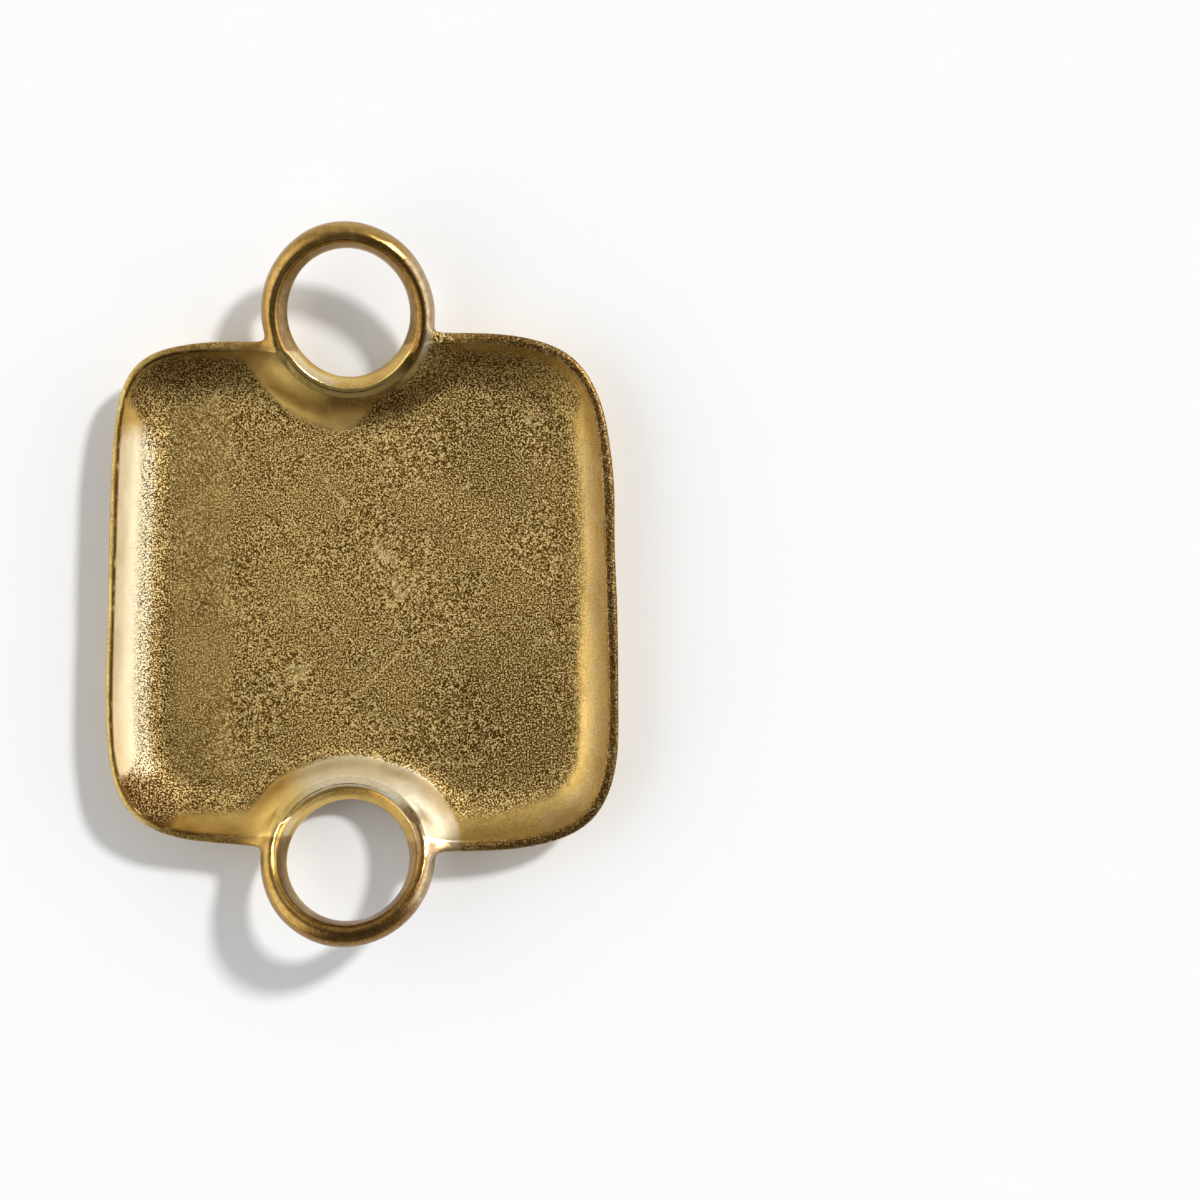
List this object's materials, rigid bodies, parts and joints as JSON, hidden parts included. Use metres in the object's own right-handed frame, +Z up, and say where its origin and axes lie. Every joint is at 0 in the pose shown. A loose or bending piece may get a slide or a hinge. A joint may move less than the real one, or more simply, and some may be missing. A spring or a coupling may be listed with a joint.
{
  "type": "serving tray",
  "caption": "Cast brass serving tray: a shallow rounded-square pan with a raised ring handle at each end, on small rubber pads.",
  "frame": {"origin": "under the middle of the tray's overall box, on the surface that its pads stand on", "axes": "+Y along the tray from the near ring to the far ring, +X to the right, +Z up"},
  "size_m": [0.299, 0.4156, 0.054],
  "materials": {
    "cast_brass": "sand-cast brass, gritty floor, satin walls",
    "polished_brass": "hand-polished brass",
    "pad_rubber": "matt rubber"
  },
  "bodies": {
    "root": {"tray_pan": "cast_brass", "handle_ring_far": "polished_brass", "handle_ring_near": "polished_brass", "pad_far_left": "pad_rubber", "pad_far_right": "pad_rubber", "pad_near_left": "pad_rubber", "pad_near_right": "pad_rubber"}
  },
  "joints": []
}
